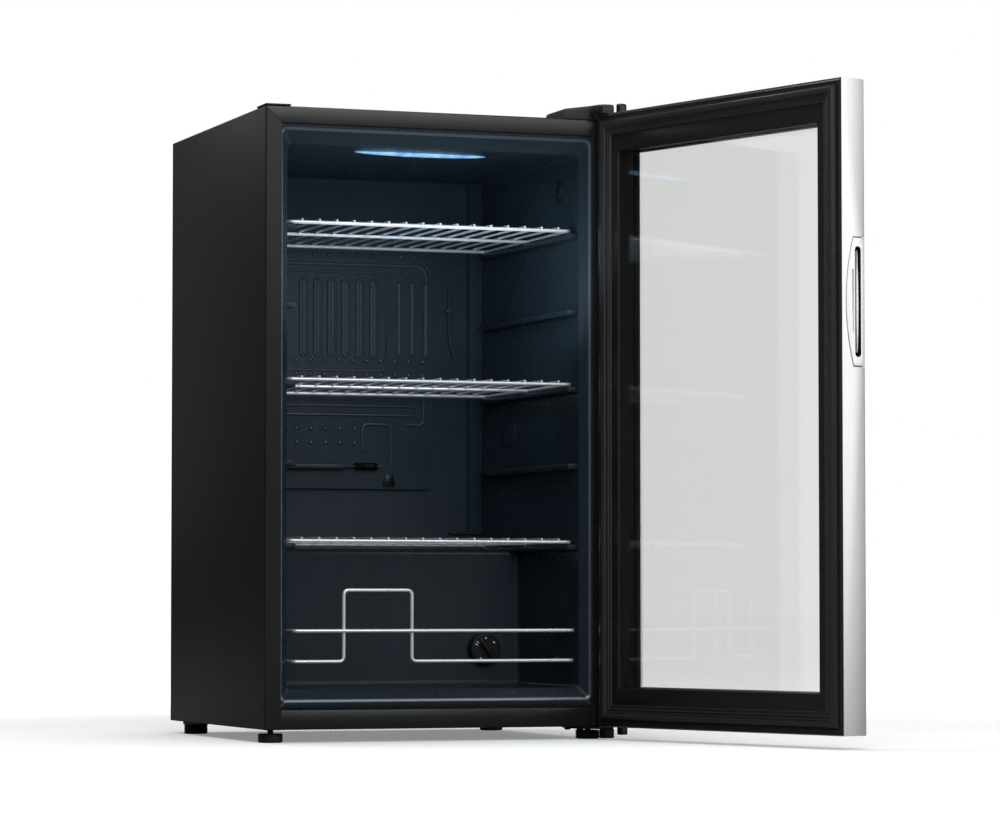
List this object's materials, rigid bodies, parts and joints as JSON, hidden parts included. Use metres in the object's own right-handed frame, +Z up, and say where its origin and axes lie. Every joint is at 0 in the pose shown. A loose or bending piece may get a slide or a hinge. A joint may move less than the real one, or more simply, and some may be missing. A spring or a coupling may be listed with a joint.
{
  "type": "glass-door mini fridge",
  "caption": "Small black drinks fridge with a steel-framed glass door, wire shelves, bottle guard, ceiling light and rear compressor bay.",
  "frame": {"origin": "middle of the footprint of the whole fridge, door open as at rest, at floor level", "axes": "+Z up, +Y from the door opening towards the back, +X to the hinge side"},
  "size_m": [0.6452, 0.938, 0.8548],
  "materials": {
    "outer_shell": "satin black paint on steel sheet",
    "front_rail": "satin black paint",
    "base_pan": "galvanised sheet",
    "back_panel": "satin painted sheet",
    "bay_divider": "galvanised sheet",
    "foam_insulation": "rigid polyurethane foam",
    "inner_liner": "dark vacuum-formed polystyrene",
    "evaporator_plate": "dark coated roll-bond plate",
    "evaporator_clip": "plain",
    "suction_tube": "dark shrink sleeve over copper",
    "capillary_coil": "dull copper tube",
    "corner_duct_cover": "dark polystyrene",
    "sensor_bulb": "black sleeve",
    "wall_blank_plate": "dark polystyrene",
    "led_lens": "frosted diffuser",
    "led_board": "white solder mask",
    "light_switch_bezel": "black plastic",
    "thermostat_body": "plated steel box",
    "bottle_guard": "bright plated wire",
    "top_hinge_bracket": "zinc plated",
    "top_hinge_pin": "zinc plated",
    "top_hinge_cover": "black plastic",
    "top_hinge_screw_1": "zinc plated",
    "top_hinge_screw_2": "zinc plated",
    "bottom_hinge_bracket": "zinc plated",
    "bottom_hinge_pin": "zinc plated",
    "bottom_hinge_screw_1": "zinc plated",
    "bottom_hinge_screw_2": "zinc plated",
    "corner_cap_left": "black plastic",
    "foot_back_left": "black rubber",
    "foot_back_right": "black rubber",
    "compressor": "black enamel",
    "compressor_mount_plate": "galvanised sheet",
    "compressor_grommet_1": "black rubber",
    "compressor_grommet_2": "black rubber",
    "compressor_grommet_3": "black rubber",
    "compressor_grommet_4": "black rubber",
    "relay_cover": "black plastic",
    "drip_tray": "dark plastic",
    "power_inlet_gland": "black rubber",
    "condenser_coil": "black paint on steel tube",
    "condenser_bracket_left": "black paint",
    "condenser_bracket_right": "black paint",
    "filter_drier": "copper",
    "door_outer_frame": "brushed stainless sheet",
    "door_inner_frame": "black plastic",
    "door_gasket": "black magnetic gasket",
    "door_outer_glass": "clear toughened glass",
    "door_inner_glass": "clear toughened glass",
    "door_glass_spacer": "black sealant-backed spacer",
    "door_handle": "silver lacquered plastic",
    "door_top_cap": "black plastic",
    "door_bottom_cap": "black plastic",
    "shelf_top": "bright plated wire",
    "shelf_middle": "bright plated wire",
    "shelf_bottom": "bright plated wire",
    "thermostat_dial": "black plastic",
    "light_switch_rocker": "black plastic",
    "foot_front_left": "black rubber",
    "foot_front_right": "black rubber"
  },
  "bodies": {
    "cabinet": {"outer_shell": "outer_shell", "front_rail": "front_rail", "base_pan": "base_pan", "back_panel": "back_panel", "bay_divider": "bay_divider", "foam_insulation": "foam_insulation", "inner_liner": "inner_liner", "evaporator_plate": "evaporator_plate", "evaporator_clip": "evaporator_clip", "suction_tube": "suction_tube", "capillary_coil": "capillary_coil", "corner_duct_cover": "corner_duct_cover", "sensor_bulb": "sensor_bulb", "wall_blank_plate": "wall_blank_plate", "led_lens": "led_lens", "led_board": "led_board", "light_switch_bezel": "light_switch_bezel", "thermostat_body": "thermostat_body", "bottle_guard": "bottle_guard", "top_hinge_bracket": "top_hinge_bracket", "top_hinge_pin": "top_hinge_pin", "top_hinge_cover": "top_hinge_cover", "top_hinge_screw_1": "top_hinge_screw_1", "top_hinge_screw_2": "top_hinge_screw_2", "bottom_hinge_bracket": "bottom_hinge_bracket", "bottom_hinge_pin": "bottom_hinge_pin", "bottom_hinge_screw_1": "bottom_hinge_screw_1", "bottom_hinge_screw_2": "bottom_hinge_screw_2", "corner_cap_left": "corner_cap_left", "foot_back_left": "foot_back_left", "foot_back_right": "foot_back_right", "compressor": "compressor", "compressor_mount_plate": "compressor_mount_plate", "compressor_grommet_1": "compressor_grommet_1", "compressor_grommet_2": "compressor_grommet_2", "compressor_grommet_3": "compressor_grommet_3", "compressor_grommet_4": "compressor_grommet_4", "relay_cover": "relay_cover", "drip_tray": "drip_tray", "power_inlet_gland": "power_inlet_gland", "condenser_coil": "condenser_coil", "condenser_bracket_left": "condenser_bracket_left", "condenser_bracket_right": "condenser_bracket_right", "filter_drier": "filter_drier"},
    "door": {"door_outer_frame": "door_outer_frame", "door_inner_frame": "door_inner_frame", "door_gasket": "door_gasket", "door_outer_glass": "door_outer_glass", "door_inner_glass": "door_inner_glass", "door_glass_spacer": "door_glass_spacer", "door_handle": "door_handle", "door_top_cap": "door_top_cap", "door_bottom_cap": "door_bottom_cap"},
    "shelf_top": {"shelf_top": "shelf_top"},
    "shelf_middle": {"shelf_middle": "shelf_middle"},
    "shelf_bottom": {"shelf_bottom": "shelf_bottom"},
    "thermostat": {"thermostat_dial": "thermostat_dial"},
    "light_switch": {"light_switch_rocker": "light_switch_rocker"},
    "foot_left": {"foot_front_left": "foot_front_left"},
    "foot_right": {"foot_front_right": "foot_front_right"}
  },
  "joints": [
    {"name": "door_swing", "type": "hinge", "parent": "cabinet", "child": "door", "pos_m": [0.14971, -0.01648, 0.4278], "axis": [0, 0, 1], "range_deg": [-107.5, 12]},
    {"name": "shelf_top_slide", "type": "slide", "parent": "cabinet", "child": "shelf_top", "axis": [0, -1, 0], "range_m": [0, 0.3]},
    {"name": "shelf_middle_slide", "type": "slide", "parent": "cabinet", "child": "shelf_middle", "axis": [0, -1, 0], "range_m": [0, 0.3]},
    {"name": "shelf_bottom_slide", "type": "slide", "parent": "cabinet", "child": "shelf_bottom", "axis": [0, -1, 0], "range_m": [0, 0.22]},
    {"name": "thermostat_turn", "type": "hinge", "parent": "cabinet", "child": "thermostat", "pos_m": [0.06821, 0.23632, 0.1184], "axis": [0, -1, 0], "range_deg": [-30, 240]},
    {"name": "light_switch_rock", "type": "hinge", "parent": "cabinet", "child": "light_switch", "pos_m": [0.12401, 0.08272, 0.7416], "axis": [0, 1, 0], "range_deg": [-16, 0]},
    {"name": "foot_left_turn", "type": "hinge", "parent": "cabinet", "child": "foot_left", "pos_m": [-0.30529, 0.02832, 0.006], "axis": [0, 0, 1], "range_deg": [-360, 1440]},
    {"name": "foot_right_turn", "type": "hinge", "parent": "cabinet", "child": "foot_right", "pos_m": [0.13971, 0.02832, 0.006], "axis": [0, 0, 1], "range_deg": [-360, 1440]}
  ]
}
